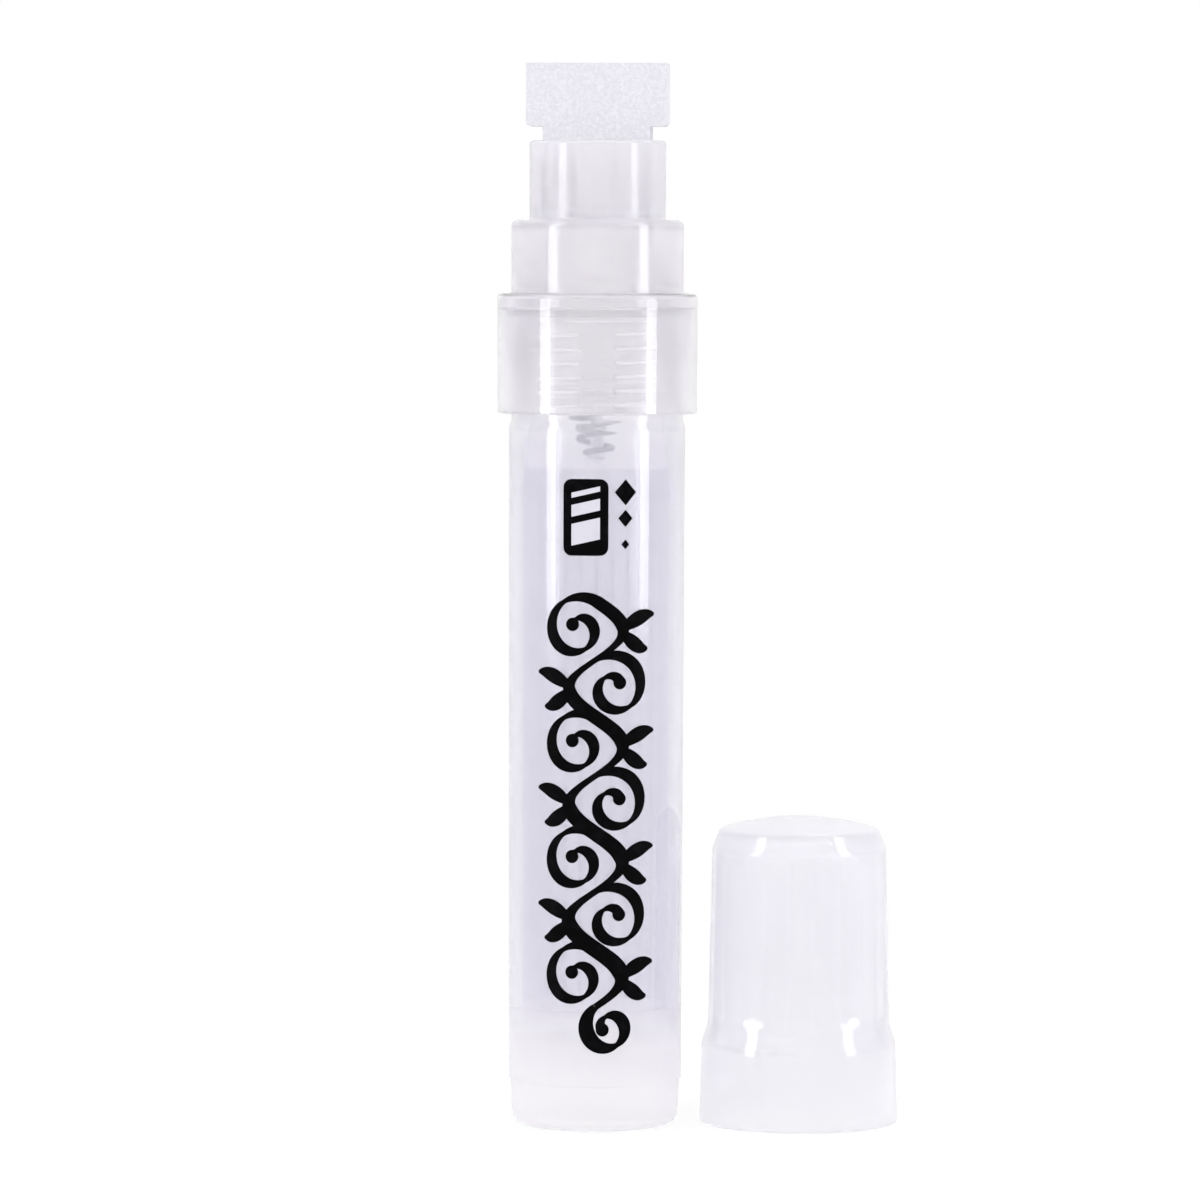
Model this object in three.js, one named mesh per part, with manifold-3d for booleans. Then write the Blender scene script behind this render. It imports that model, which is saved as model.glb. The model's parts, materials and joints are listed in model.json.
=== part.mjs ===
// Empty refillable pump marker with its cap taken off and stood beside it.
// Sizes are in millimetres, +Z is up, and the origin is the centre of the marker's flat base.
import * as THREE from "three";
import { mergeVertices } from "three/addons/utils/BufferGeometryUtils.js";
import Module from "manifold-3d";

// Tail plug
const tailHeight = 4.95;
const tailFootR = 8.85;
const tailTopR = 9.07;
const tailFillet = 1.0;
const tailFloor = 1.3;
const plugDepth = 4.5;
const plugWall = 1.1;

// Barrel and its neck
const barrelLength = 69.65;
const barrelFootR = 9.23;
const barrelTopR = 9.42;
const barrelWall = 1.2;
const shoulderHeight = 0.9;
const neckLength = 10.5;
const neckBandLength = 1.6;
const neckCoreR = 8.55;
const neckWall = 1.1;

// Screw joint between neck and collar
const threadDepth = 0.6;
const sealThickness = 0.6;

// Front section: collar, cap seat and nib socket
const collarWall = 1.4;
const collarDraft = 0.07;
const collarLength = 12.8;
const collarFillet = 1.0;
const ledgeHeight = 11.2;
const seatR = 9.2;
const seatLength = 7.8;
const seatWall = 1.25;
const seatRoof = 1.0;
const seatFillet = 0.5;
const socketLength = 8.4;
const socketWall = 0.9;
const socketRibWidth = 0.8;
const socketRibDrop = 1.5;
const innerRibX = 1.9;
const outerRibX = 4.9;

// Nib
const nibWidth = 15.0;
const nibThickness = 5.0;
const nibHeadHeight = 6.7;
const tangWidth = 11.4;
const nibCorner = 0.45;
const nibStandOff = 1.5;
const nibTurn = THREE.MathUtils.degToRad(-4.3);

// Valve
const flangeThickness = 0.8;
const holderRise = 5.6;
const holderDrop = 7.2;
const holderWall = 1.0;
const holderFloor = 1.2;
const seatHoleR = 2.4;
const springLip = 1.1;
const springCatch = 0.4;
const lipWall = 0.8;
const plungerBelowRoof = 1.3;
const stemR = 1.3;
const tailStemR = 0.65;
const valveOverlap = 0.5;
const finThickness = 1.0;

// Conical spring
const wire = 0.55;
const springWideR = 4.5;
const springNarrowR = 1.12;
const springLength = 6.6;
const springTurns = 4.55;
const springStart = THREE.MathUtils.degToRad(-69);

// Cap
const capHeight = 32.9;
const capTopR = 8.49;
const capDome = 1.3;
const capChamfer = 2.05;
const capBodyTopR = 9.36;
const capBodyFootR = 9.74;
const capBandTopR = 10.43;
const capMouthWall = 1.33;
const capBandHeight = 8.6;
const capShoulder = 2.0;
const capWall = 1.02;
const capRoof = 1.2;
const capFlutes = 22;
const sidesPerFlute = 4;
const fluteDepth = 0.12;
const capAside = new THREE.Vector3(21.9, 1.9, 0);
const capTurn = THREE.MathUtils.degToRad(0.7);

// Clearances
const pressGap = 0.05;
const slideGap = 0.2;
const turnGap = 0.1;
const nibGap = 0.15;
const boreGap = 0.15;
const capGap = 0.12;
const springGap = 0.12;

// Flat sides of the turned pieces that show and of those inside; the cap's follow its flutes
const outerSides = 64;
const innerSides = 40;

// Levels up the marker
const shoulderZ = tailHeight + barrelLength;
const neckFootZ = shoulderZ + shoulderHeight;
const neckTopZ = neckFootZ + neckLength;
const flangeFootZ = neckTopZ + sealThickness;
const ledgeZ = flangeFootZ + flangeThickness;
const collarFootZ = ledgeZ - ledgeHeight;
const collarTopZ = collarFootZ + collarLength;
const seatTopZ = collarTopZ + seatLength;
const roofZ = seatTopZ - seatRoof;
const socketTopZ = seatTopZ + socketLength;
const plungerTopZ = roofZ - plungerBelowRoof;
const holderTopZ = ledgeZ + holderRise;
const valveSeatZ = flangeFootZ - holderDrop;

// Radii that follow from what fits into what
const neckBandR = neckCoreR + threadDepth;
const neckBoreR = neckCoreR - neckWall;
const collarBoreR = neckBandR + turnGap;
const collarFootR = collarBoreR + collarWall;
const collarTopR = collarFootR + collarDraft;
const seatBoreR = seatR - seatWall;
const socketBoreR = Math.hypot(tangWidth, nibThickness) / 2 + nibGap;
const socketR = socketBoreR + socketWall;
const holderDropR = neckBoreR - boreGap;
const holderBoreR = holderDropR - holderWall;
const springSeatZ = valveSeatZ - springGap - wire / 2;

const wasm = await Module();
wasm.setup();

// A closed solid from any closed geometry: seams merged and collapsed triangles dropped
function solidOf(geometry) {
  const seamWidth = 1e-4;
  const bare = geometry.index ? geometry.toNonIndexed() : geometry.clone();
  bare.deleteAttribute("normal");
  bare.deleteAttribute("uv");
  const merged = mergeVertices(bare, seamWidth);
  const corners = merged.index.array;
  const triVerts = [];
  for (let i = 0; i < corners.length; i += 3) {
    const [a, b, c] = corners.subarray(i, i + 3);
    if (a !== b && b !== c && c !== a) triVerts.push(a, b, c);
  }
  const vertProperties = merged.attributes.position.array;
  return new wasm.Manifold(
    new wasm.Mesh({ numProp: 3, vertProperties, triVerts: new Uint32Array(triVerts) }),
  );
}

function geometryOf(solid) {
  const { vertProperties, triVerts } = solid.getMesh();
  const geometry = new THREE.BufferGeometry();
  geometry.setAttribute("position", new THREE.BufferAttribute(vertProperties, 3));
  geometry.setIndex(new THREE.BufferAttribute(triVerts, 1));
  geometry.computeVertexNormals();
  return geometry;
}

// A turned piece: its outline is a list of [radius, height], outer side upwards
function turned(sides, outline) {
  const points = outline.map(([r, z]) => new THREE.Vector2(r, z));
  const [first, last] = [points[0], points[points.length - 1]];
  if (first.x > 0 || last.x > 0) points.push(first.clone());
  return new THREE.LatheGeometry(points, sides).rotateX(Math.PI / 2);
}

// Points of a round edge about a centre, from one angle to another in degrees
function arc(centreR, centreZ, radius, from, to, steps = 3) {
  return Array.from({ length: steps + 1 }, (_, i) => {
    const angle = THREE.MathUtils.degToRad(from + ((to - from) * i) / steps);
    return [centreR + radius * Math.cos(angle), centreZ + radius * Math.sin(angle)];
  });
}

// Pressed into the barrel's open end: a shallow cup whose lower band shows
function tailPlug() {
  const plugR = barrelFootR - barrelWall - pressGap;
  const rimZ = tailHeight + plugDepth;
  const leadIn = 0.4;
  return turned(outerSides, [
    [0, 0],
    ...arc(tailFootR - tailFillet, tailFillet, tailFillet, -90, 0, 4),
    [tailTopR, tailHeight],
    [plugR, tailHeight],
    [plugR, rimZ - leadIn],
    [plugR - leadIn, rimZ],
    [plugR - plugWall, rimZ],
    [plugR - plugWall, tailFloor + leadIn],
    [plugR - plugWall - leadIn, tailFloor],
    [0, tailFloor],
  ]);
}

// Drawn-out tube, slightly wider at the top, with a chamfered shoulder and a narrower neck
function barrel() {
  const boreDraftZ = shoulderZ - 2 * barrelWall;
  const rim = 0.3;
  return turned(outerSides, [
    [barrelFootR, tailHeight],
    [barrelTopR, shoulderZ],
    [neckBandR, neckFootZ],
    [neckBandR, neckFootZ + neckBandLength],
    [neckCoreR, neckFootZ + neckBandLength + threadDepth / 2],
    [neckCoreR, neckTopZ - rim],
    [neckCoreR - rim, neckTopZ],
    [neckBoreR, neckTopZ],
    [neckBoreR, boreDraftZ + barrelWall],
    [barrelTopR - barrelWall, boreDraftZ],
    [barrelFootR - barrelWall, tailHeight],
  ]);
}

// Flat washer between the neck's rim and the valve holder's flange
function sealRing() {
  return turned(innerSides, [
    [neckBoreR + boreGap, neckTopZ],
    [neckCoreR, neckTopZ],
    [neckCoreR, flangeFootZ],
    [neckBoreR + boreGap, flangeFootZ],
  ]);
}

// Vertical fins in the socket that hold the nib's tang by its two broad faces
function socketRibs() {
  const nearY = nibThickness / 2 + nibGap;
  const ribTopZ = socketTopZ - socketRibDrop;
  const height = ribTopZ - roofZ;
  const midWallR = socketBoreR + socketWall / 2;
  const bore = solidOf(
    new THREE.CylinderGeometry(midWallR, midWallR, 2 * height, outerSides)
      .rotateX(Math.PI / 2)
      .translate(0, 0, roofZ + height),
  );
  return [-outerRibX, -innerRibX, innerRibX, outerRibX].flatMap((x) =>
    [-1, 1].map((side) => {
      const reach = socketR - nearY;
      const fin = new THREE.BoxGeometry(socketRibWidth, reach, height);
      fin.translate(x, side * (nearY + reach / 2), roofZ + height / 2);
      return solidOf(fin).intersect(bore);
    }),
  );
}

// One moulding: screw collar, stepped seat for the cap, and ribbed socket for the nib
function frontSection() {
  const edge = 0.3;
  const socketFillet = 0.35;
  const shell = solidOf(
    turned(outerSides, [
      [collarFootR, collarFootZ],
      ...arc(collarTopR - collarFillet, collarTopZ - collarFillet, collarFillet, 0, 90, 4),
      [seatR, collarTopZ],
      ...arc(seatR - seatFillet, seatTopZ - seatFillet, seatFillet, 0, 90),
      [socketR, seatTopZ],
      ...arc(socketR - socketFillet, socketTopZ - socketFillet, socketFillet, 0, 90, 2),
      [socketBoreR + edge, socketTopZ],
      [socketBoreR, socketTopZ - edge],
      [socketBoreR, roofZ],
      [seatBoreR, roofZ],
      [seatBoreR, ledgeZ],
      [collarBoreR, ledgeZ],
      [collarBoreR, collarFootZ + edge],
      [collarBoreR + edge, collarFootZ],
    ]),
  );
  return geometryOf(socketRibs().reduce((body, rib) => body.add(rib), shell));
}

// Stepped cup clamped by its flange: the valve seat is the hole in its floor,
// and a grooved lip below the floor holds the spring's wide end
function valveHolder() {
  const bodyR = seatBoreR - pressGap;
  const edge = 0.4;
  const lipBoreR = springWideR + wire / 2 + springGap;
  const catchR = lipBoreR - springCatch;
  const catchTopZ = springSeatZ - wire / 2 - springGap;
  const lipFootZ = Math.min(valveSeatZ - springLip, catchTopZ - springGap);
  const floorTopZ = valveSeatZ + holderFloor;
  return turned(innerSides, [
    [catchR, lipFootZ],
    [lipBoreR + lipWall, lipFootZ],
    [lipBoreR + lipWall, valveSeatZ],
    [holderDropR - edge, valveSeatZ],
    [holderDropR, valveSeatZ + edge],
    [holderDropR, flangeFootZ],
    [neckBandR, flangeFootZ],
    [neckBandR, ledgeZ],
    [bodyR, ledgeZ],
    [bodyR, holderTopZ - edge],
    [bodyR - edge, holderTopZ],
    [bodyR - holderWall, holderTopZ],
    [bodyR - holderWall, ledgeZ],
    [holderBoreR, flangeFootZ],
    [holderBoreR, floorTopZ],
    [seatHoleR + edge, floorTopZ],
    [seatHoleR, floorTopZ - edge],
    [seatHoleR, valveSeatZ],
    [lipBoreR, valveSeatZ],
    [lipBoreR, catchTopZ],
    [catchR, catchTopZ - springGap / 2],
  ]);
}

// Pump stem: the cross at its top carries the nib, its cone closes the seat from below,
// and a bead at its lower tip is hooked by the spring's narrow end
function valvePlunger() {
  const headBand = 0.8;
  const conePassR = seatHoleR - turnGap;
  const headR = seatHoleR + valveOverlap;
  const headTopZ = valveSeatZ - (headR - conePassR);
  const headFootZ = headTopZ - headBand;
  const beadTopZ = springSeatZ - springLength - wire / 2 - springGap;
  const beadR = springNarrowR - wire / 4;
  const bead = 0.1;
  const tipR = tailStemR + bead / 2;
  const stem = turned(innerSides, [
    [0, beadTopZ - bead - (beadR - tipR)],
    [tipR, beadTopZ - bead - (beadR - tipR)],
    [beadR, beadTopZ - bead],
    [beadR, beadTopZ],
    [tailStemR, beadTopZ + bead],
    [tailStemR, headFootZ - (headR - tailStemR) / 2],
    [headR, headFootZ],
    [headR, headTopZ],
    [stemR, valveSeatZ + conePassR - stemR],
    [stemR, plungerTopZ],
    [0, plungerTopZ],
  ]);
  const finR = holderBoreR - slideGap;
  const finTipR = Math.min(finR, tangWidth / 2);
  const finFootZ = valveSeatZ + holderFloor + nibStandOff + slideGap;
  const web = new THREE.Shape(
    [
      [stemR, finFootZ],
      [finR, finFootZ + finR - stemR],
      [finR, ledgeZ],
      [finTipR, plungerTopZ],
      [-finTipR, plungerTopZ],
      [-finR, ledgeZ],
      [-finR, finFootZ + finR - stemR],
      [-stemR, finFootZ],
    ].map(([r, z]) => new THREE.Vector2(r, z)),
  );
  const fins = [0, Math.PI / 2].map((turn) =>
    solidOf(
      new THREE.ExtrudeGeometry(web, { depth: finThickness, bevelEnabled: false })
        .translate(0, 0, -finThickness / 2)
        .rotateX(Math.PI / 2)
        .rotateZ(turn),
    ),
  );
  return geometryOf(fins.reduce((body, fin) => body.add(fin), solidOf(stem)));
}

// Centre line of the conical spring, wide end up, flattening over one turn at each end.
// The coils rise to the right as seen from outside.
function springCentre(turn) {
  const fall = (t) => {
    if (t < 1) return (t * t) / 2;
    if (t > springTurns - 1) return springTurns - 1 - (springTurns - t) ** 2 / 2;
    return t - 0.5;
  };
  const radius = THREE.MathUtils.lerp(springWideR, springNarrowR, turn / springTurns);
  const angle = springStart - 2 * Math.PI * turn;
  return new THREE.Vector3(
    radius * Math.cos(angle),
    radius * Math.sin(angle),
    springSeatZ - (springLength * fall(turn)) / (springTurns - 1),
  );
}

function valveSpring() {
  const stepsPerTurn = 8;
  const wireSides = 5;
  const steps = Math.round(springTurns * stepsPerTurn);
  const centres = Array.from({ length: steps + 1 }, (_, i) => springCentre((i * springTurns) / steps));
  const positions = [];
  centres.forEach((centre, i) => {
    const next = centres[Math.min(i + 1, steps)];
    const last = centres[Math.max(i - 1, 0)];
    const along = next.clone().sub(last).normalize();
    const out = new THREE.Vector3(centre.x, centre.y, 0).normalize();
    const across = new THREE.Vector3().crossVectors(along, out).normalize();
    out.crossVectors(across, along).normalize();
    for (let side = 0; side < wireSides; side += 1) {
      const angle = (2 * Math.PI * side) / wireSides;
      const point = centre.clone();
      point.addScaledVector(out, (wire / 2) * Math.cos(angle));
      point.addScaledVector(across, (wire / 2) * Math.sin(angle));
      positions.push(...point.toArray());
    }
  });
  const faces = [];
  for (let i = 0; i < steps; i += 1) {
    for (let side = 0; side < wireSides; side += 1) {
      const a = i * wireSides + side;
      const b = i * wireSides + ((side + 1) % wireSides);
      faces.push(a, b, a + wireSides, b, b + wireSides, a + wireSides);
    }
  }
  const lastRing = steps * wireSides;
  for (let side = 1; side < wireSides - 1; side += 1) {
    faces.push(0, side + 1, side);
    faces.push(lastRing, lastRing + side, lastRing + side + 1);
  }
  let gap = Infinity;
  centres.forEach((one, i) =>
    centres.slice(i + stepsPerTurn / 2).forEach((other) => {
      gap = Math.min(gap, one.distanceTo(other) - wire);
    }),
  );
  console.log(`least gap between the spring's coils: ${gap.toFixed(2)} mm`);
  const geometry = new THREE.BufferGeometry();
  geometry.setAttribute("position", new THREE.Float32BufferAttribute(positions, 3));
  geometry.setIndex(faces);
  geometry.computeVertexNormals();
  return geometry;
}

// Felt block: a wide chisel head on a narrower tang
function nib() {
  const headFootZ = socketTopZ + nibStandOff;
  const headTopZ = headFootZ + nibHeadHeight;
  const [headX, tangX] = [nibWidth / 2, tangWidth / 2];
  const outline = new THREE.Shape();
  outline.moveTo(-tangX, plungerTopZ);
  outline.lineTo(tangX, plungerTopZ);
  outline.lineTo(tangX, headFootZ);
  outline.lineTo(headX - nibCorner, headFootZ);
  outline.absarc(headX - nibCorner, headFootZ + nibCorner, nibCorner, -Math.PI / 2, 0, false);
  outline.lineTo(headX, headTopZ);
  outline.lineTo(-headX, headTopZ);
  outline.lineTo(-headX, headFootZ + nibCorner);
  outline.absarc(nibCorner - headX, headFootZ + nibCorner, nibCorner, Math.PI, 1.5 * Math.PI, false);
  outline.lineTo(-tangX, headFootZ);
  const options = { depth: nibThickness, bevelEnabled: false, curveSegments: 4 };
  return new THREE.ExtrudeGeometry(outline, options)
    .translate(0, 0, -nibThickness / 2)
    .rotateX(Math.PI / 2);
}

// Stands on its mouth. The mouth slides over the cap seat down to the collar, and the
// tapered body above it is fluted for grip.
function cap() {
  const mouthBoreR = seatR + capGap;
  const mouthR = mouthBoreR + capMouthWall;
  const innerStepZ = seatLength + seatFillet;
  const bodyFootZ = capBandHeight + capShoulder;
  const bodyTopZ = capHeight - capDome - capChamfer;
  const rimZ = capHeight - capDome;
  const beadZ = 6.3;
  const edge = 0.35;
  const shoulderSteps = 6;
  const shoulder = Array.from({ length: shoulderSteps - 1 }, (_, i) => {
    const share = (i + 1) / shoulderSteps;
    const drop = share * share * (3 - 2 * share);
    return [
      THREE.MathUtils.lerp(capBandTopR, capBodyFootR, drop),
      capBandHeight + capShoulder * share,
    ];
  });
  const roofR = capTopR - capWall;
  const domeSteps = 4;
  const dome = (footR, footZ) => Array.from({ length: domeSteps }, (_, i) => {
    const share = 1 - (i + 1) / domeSteps;
    return [footR * share, footZ + capDome * (1 - share ** 2)];
  });
  const geometry = turned(sidesPerFlute * capFlutes, [
    [mouthBoreR + edge, 0],
    [mouthR - edge, 0],
    [mouthR, edge],
    [capBandTopR, capBandHeight],
    ...shoulder,
    [capBodyFootR, bodyFootZ],
    [capBodyTopR, bodyTopZ],
    [capTopR, rimZ],
    ...dome(capTopR, rimZ),
    ...dome(roofR, rimZ - capRoof).reverse(),
    [roofR, rimZ - capRoof],
    [capBodyTopR - capWall, bodyTopZ - capRoof / 2],
    [capBodyFootR - capWall, innerStepZ + edge],
    [capBodyFootR - capWall, innerStepZ],
    [mouthBoreR, innerStepZ],
    [mouthBoreR, beadZ + edge],
    [mouthBoreR - capGap / 2, beadZ],
    [mouthBoreR, beadZ - edge],
    [mouthBoreR, edge],
  ]);
  const place = geometry.attributes.position;
  const midWallR = (capBodyFootR + capBodyTopR - capWall) / 2;
  const levelSlack = 1e-3;
  const point = new THREE.Vector3();
  for (let i = 0; i < place.count; i += 1) {
    point.fromBufferAttribute(place, i);
    const onBody = point.z > bodyFootZ - levelSlack && point.z < bodyTopZ + levelSlack;
    const radius = Math.hypot(point.x, point.y);
    if (!onBody || radius < midWallR) continue;
    const hollow = fluteDepth * Math.sin((capFlutes / 2) * Math.atan2(point.y, point.x)) ** 2;
    place.setXY(i, (point.x * (radius - hollow)) / radius, (point.y * (radius - hollow)) / radius);
  }
  return geometryOf(solidOf(geometry));
}

function finish(color, roughness, metalness = 0) {
  return new THREE.MeshStandardMaterial({ color, roughness, metalness });
}

const clearPlastic = finish(0xeceaf3, 0.3);
const frontPlastic = finish(0xe9e6f0, 0.35);
const capPlastic = finish(0xefeef4, 0.25);
const valvePlastic = finish(0xdedce4, 0.45);
const sealPlastic = finish(0xd5d3dc, 0.6);
const springSteel = finish(0x9a9ca3, 0.3, 1);
const felt = finish(0xf2f1f6, 1);

function part(name, geometry, material) {
  const mesh = new THREE.Mesh(geometry, material);
  mesh.name = name;
  return mesh;
}

const front = new THREE.Group();
front.rotation.z = nibTurn;
front.add(
  part("front_section", frontSection(), frontPlastic),
  part("valve_holder", valveHolder(), valvePlastic),
  part("valve_plunger", valvePlunger(), valvePlastic),
  part("valve_spring", valveSpring(), springSteel),
  part("nib", nib(), felt),
);

const capStand = new THREE.Group();
capStand.position.copy(capAside);
capStand.rotation.z = capTurn;
capStand.add(part("cap", cap(), capPlastic));

const marker = new THREE.Group();
marker.add(
  part("tail_plug", tailPlug(), clearPlastic),
  part("barrel", barrel(), clearPlastic),
  part("seal_ring", sealRing(), sealPlastic),
  front,
  capStand,
);

export default marker;
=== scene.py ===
# Empty refillable pump marker, standing on its tail, with its cap taken off and stood beside it.
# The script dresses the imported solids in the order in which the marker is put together.
import json
import math

import bmesh
import bpy
from mathutils import Matrix, Vector

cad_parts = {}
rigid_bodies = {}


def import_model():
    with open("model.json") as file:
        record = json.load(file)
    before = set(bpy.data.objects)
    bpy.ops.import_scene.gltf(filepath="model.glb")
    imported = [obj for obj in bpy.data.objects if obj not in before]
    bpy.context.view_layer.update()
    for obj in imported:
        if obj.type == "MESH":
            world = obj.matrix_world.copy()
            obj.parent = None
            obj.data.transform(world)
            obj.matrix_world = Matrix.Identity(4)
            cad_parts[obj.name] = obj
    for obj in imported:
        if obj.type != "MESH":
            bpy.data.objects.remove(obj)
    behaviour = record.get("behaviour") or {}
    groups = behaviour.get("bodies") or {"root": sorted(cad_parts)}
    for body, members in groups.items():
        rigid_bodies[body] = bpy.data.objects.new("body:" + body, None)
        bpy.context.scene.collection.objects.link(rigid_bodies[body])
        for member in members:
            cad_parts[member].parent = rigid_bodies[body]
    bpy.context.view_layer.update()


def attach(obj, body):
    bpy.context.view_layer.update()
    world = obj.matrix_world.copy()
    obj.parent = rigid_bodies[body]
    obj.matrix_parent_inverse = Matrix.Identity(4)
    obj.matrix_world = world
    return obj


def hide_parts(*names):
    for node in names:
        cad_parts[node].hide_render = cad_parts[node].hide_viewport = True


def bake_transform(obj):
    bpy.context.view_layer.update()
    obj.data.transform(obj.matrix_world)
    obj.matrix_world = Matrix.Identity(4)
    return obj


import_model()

# Camera: a long lens almost level with the marker's middle, so that its sides stay parallel.
lens = bpy.data.cameras.new("long_lens")
lens.sensor_width = 36.0
lens.lens = 191.1
lens.clip_start = 0.05
camera = bpy.data.objects.new("camera", lens)
look_down = math.radians(3.35)
camera_roll = math.radians(0.2)
camera.matrix_world = (
    Matrix.Translation((0.00038, -0.680, 0.096))
    @ Matrix.Rotation(math.pi / 2 - look_down, 4, "X")
    @ Matrix.Rotation(camera_roll, 4, "Z")
)
bpy.context.collection.objects.link(camera)
bpy.context.scene.camera = camera
bpy.context.scene.view_settings.view_transform = "Standard"


# Studio: a pale floor and an even white surround, with two tall strip lamps that draw the long
# upright highlights on everything turned.
class Value:
    """A shader socket on which sums and products add Math nodes."""

    def __init__(self, mix, socket):
        self.mix = mix
        self.socket = socket

    def maths(self, operation, *terms):
        return self.mix.node("ShaderNodeMath", {"operation": operation}, dict(enumerate(terms)))

    def __add__(self, other):
        return self.maths("ADD", self, other)

    def __sub__(self, other):
        return self.maths("SUBTRACT", self, other)

    def __rsub__(self, other):
        return self.maths("SUBTRACT", other, self)

    def __mul__(self, other):
        return self.maths("MULTIPLY", self, other)

    __radd__ = __add__
    __rmul__ = __mul__

    def or_more(self, other):
        return self.maths("MAXIMUM", self, other)

    def between(self, low, high):
        """0 up to low, 1 from high, and smooth from one to the other."""
        smooth = {"interpolation_type": "SMOOTHSTEP"}
        return self.mix.node("ShaderNodeMapRange", smooth, {0: self, 1: low, 2: high})


class Mix:
    """The nodes of one finish."""

    def __init__(self, tree):
        self.tree = tree
        tree.nodes.clear()

    def node(self, kind, settings, sockets, output=0):
        node = self.tree.nodes.new(kind)
        for name, setting in settings.items():
            setattr(node, name, setting)
        for name, given in sockets.items():
            if isinstance(given, Value):
                self.tree.links.new(given.socket, node.inputs[name])
            else:
                node.inputs[name].default_value = given
        return Value(self, node.outputs[output] if node.outputs else None)

    def blend(self, share, one, other):
        """A colour between two, by a share from 0 to 1."""
        sockets = {0: share, 6: one, 7: other}
        return self.node("ShaderNodeMix", {"data_type": "RGBA"}, sockets, output=2)

    def place(self, scale=(1.0, 1.0, 1.0), turn=(0.0, 0.0, 0.0)):
        spot = self.node("ShaderNodeTexCoord", {}, {}, output="Object")
        sockets = {"Vector": spot, "Scale": scale, "Rotation": turn}
        return self.node("ShaderNodeMapping", {}, sockets)

    def noise(self, vector, size, detail=2.0, rough=0.5):
        """Noise in patches of about the given size in metres."""
        sockets = {"Vector": vector, "Scale": 1 / size, "Detail": detail, "Roughness": rough}
        return self.node("ShaderNodeTexNoise", {}, sockets)

    def bump(self, height, depth, strength=1.0):
        sockets = {"Height": height, "Distance": depth, "Strength": strength}
        return self.node("ShaderNodeBump", {}, sockets)

    def surface(self, sockets):
        shader = self.node("ShaderNodeBsdfPrincipled", {}, sockets)
        self.node("ShaderNodeOutputMaterial", {}, {"Surface": shader})


def new_finish(name):
    material = bpy.data.materials.new(name)
    material.use_nodes = True
    return material, Mix(material.node_tree)


def ray_is(mix, kind):
    """1 for rays of a kind: Camera, Glossy or Transmission."""
    return mix.node("ShaderNodeLightPath", {}, {}, output=f"Is {kind} Ray")


def looks_at_surround(mix):
    """1 for rays from the camera, or mirrored or let through; 0 for those that gather light."""
    seen = ray_is(mix, "Camera").or_more(ray_is(mix, "Glossy"))
    return seen.or_more(ray_is(mix, "Transmission"))


light_paths = bpy.context.scene.cycles
light_paths.max_bounces = 40
light_paths.blur_glossy = 0.0
light_paths.diffuse_bounces = 24
light_paths.glossy_bounces = 24
light_paths.transmission_bounces = 40
light_paths.transparent_max_bounces = 40
gathered_light = (0.99, 0.98, 1.01, 1)
flank_tone = (0.6, 0.59, 0.7, 1)
surround = bpy.data.worlds.new("white_surround")
surround.use_nodes = True
bpy.context.scene.world = surround
sky = Mix(surround.node_tree)
way = sky.node("ShaderNodeTexCoord", {}, {}, output="Generated")
sideways = sky.node("ShaderNodeSeparateXYZ", {}, {"Vector": way}, output="X")
flank = sideways.maths("ABSOLUTE", sideways).between(0.5, 0.95) * (1.0 - ray_is(sky, "Camera"))
seen_light = sky.blend(flank, (1, 1, 1, 1), flank_tone)
sky_tone = sky.blend(looks_at_surround(sky), gathered_light, seen_light)
sky_light = sky.node("ShaderNodeBackground", {}, {"Color": sky_tone, "Strength": 1.0})
sky.node("ShaderNodeOutputWorld", {}, {"Surface": sky_light})

floor_half, floor_drop = 3.0, 0.00002
floor_corners = ((-1, -1), (1, -1), (1, 1), (-1, 1))
floor_mesh = bpy.data.meshes.new("floor")
floor_mesh.from_pydata(
    [(floor_half * x, floor_half * y, -floor_drop) for x, y in floor_corners], [], [(0, 1, 2, 3)]
)
floor = bpy.data.objects.new("floor", floor_mesh)
bpy.context.collection.objects.link(floor)
floor_paint, mix = new_finish("floor_paint")
shadow_share = 0.2
shadow_fade = (0.03, 0.15)
from_foot = mix.node("ShaderNodeVectorMath", {"operation": "LENGTH"}, {0: mix.place()}, output=1)
lit = mix.node("ShaderNodeBsdfDiffuse", {}, {"Color": (0.95, 0.95, 0.95, 1.0)})
glow = mix.node("ShaderNodeEmission", {}, {"Color": (1.0, 1.0, 1.0, 1.0), "Strength": 1.0})
own_glow = 1.0 - shadow_share + from_foot.between(*shadow_fade) * shadow_share
floor_share = looks_at_surround(mix) * own_glow
floor_shader = mix.node("ShaderNodeMixShader", {}, {0: floor_share, 1: lit, 2: glow})
mix.node("ShaderNodeOutputMaterial", {}, {"Surface": floor_shader})
floor_mesh.materials.append(floor_paint)

strip_width, strip_height, strip_centre_z = 0.20, 1.7, 0.5
strip_distance = 0.85
strip_power = 3.9
for side, bearing in (("left", -62), ("right", 65)):
    lamp = bpy.data.lights.new(f"strip_{side}", "AREA")
    lamp.shape = "RECTANGLE"
    lamp.size = strip_width
    lamp.size_y = strip_height
    lamp.energy = strip_power
    strip = bpy.data.objects.new(f"strip_{side}", lamp)
    facing = Matrix.Rotation(math.radians(bearing), 4, "Z")
    upright = Matrix.Rotation(math.pi / 2, 4, "X")
    stand_off = Matrix.Translation((0, -strip_distance, strip_centre_z))
    strip.matrix_world = facing @ stand_off @ upright
    bpy.context.collection.objects.link(strip)

# Tail plug: a shallow cup of natural polypropylene, injection moulded and pressed into the
# barrel's open end once the valve side is closed.
mm = 0.001
round_sides = 192


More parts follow.
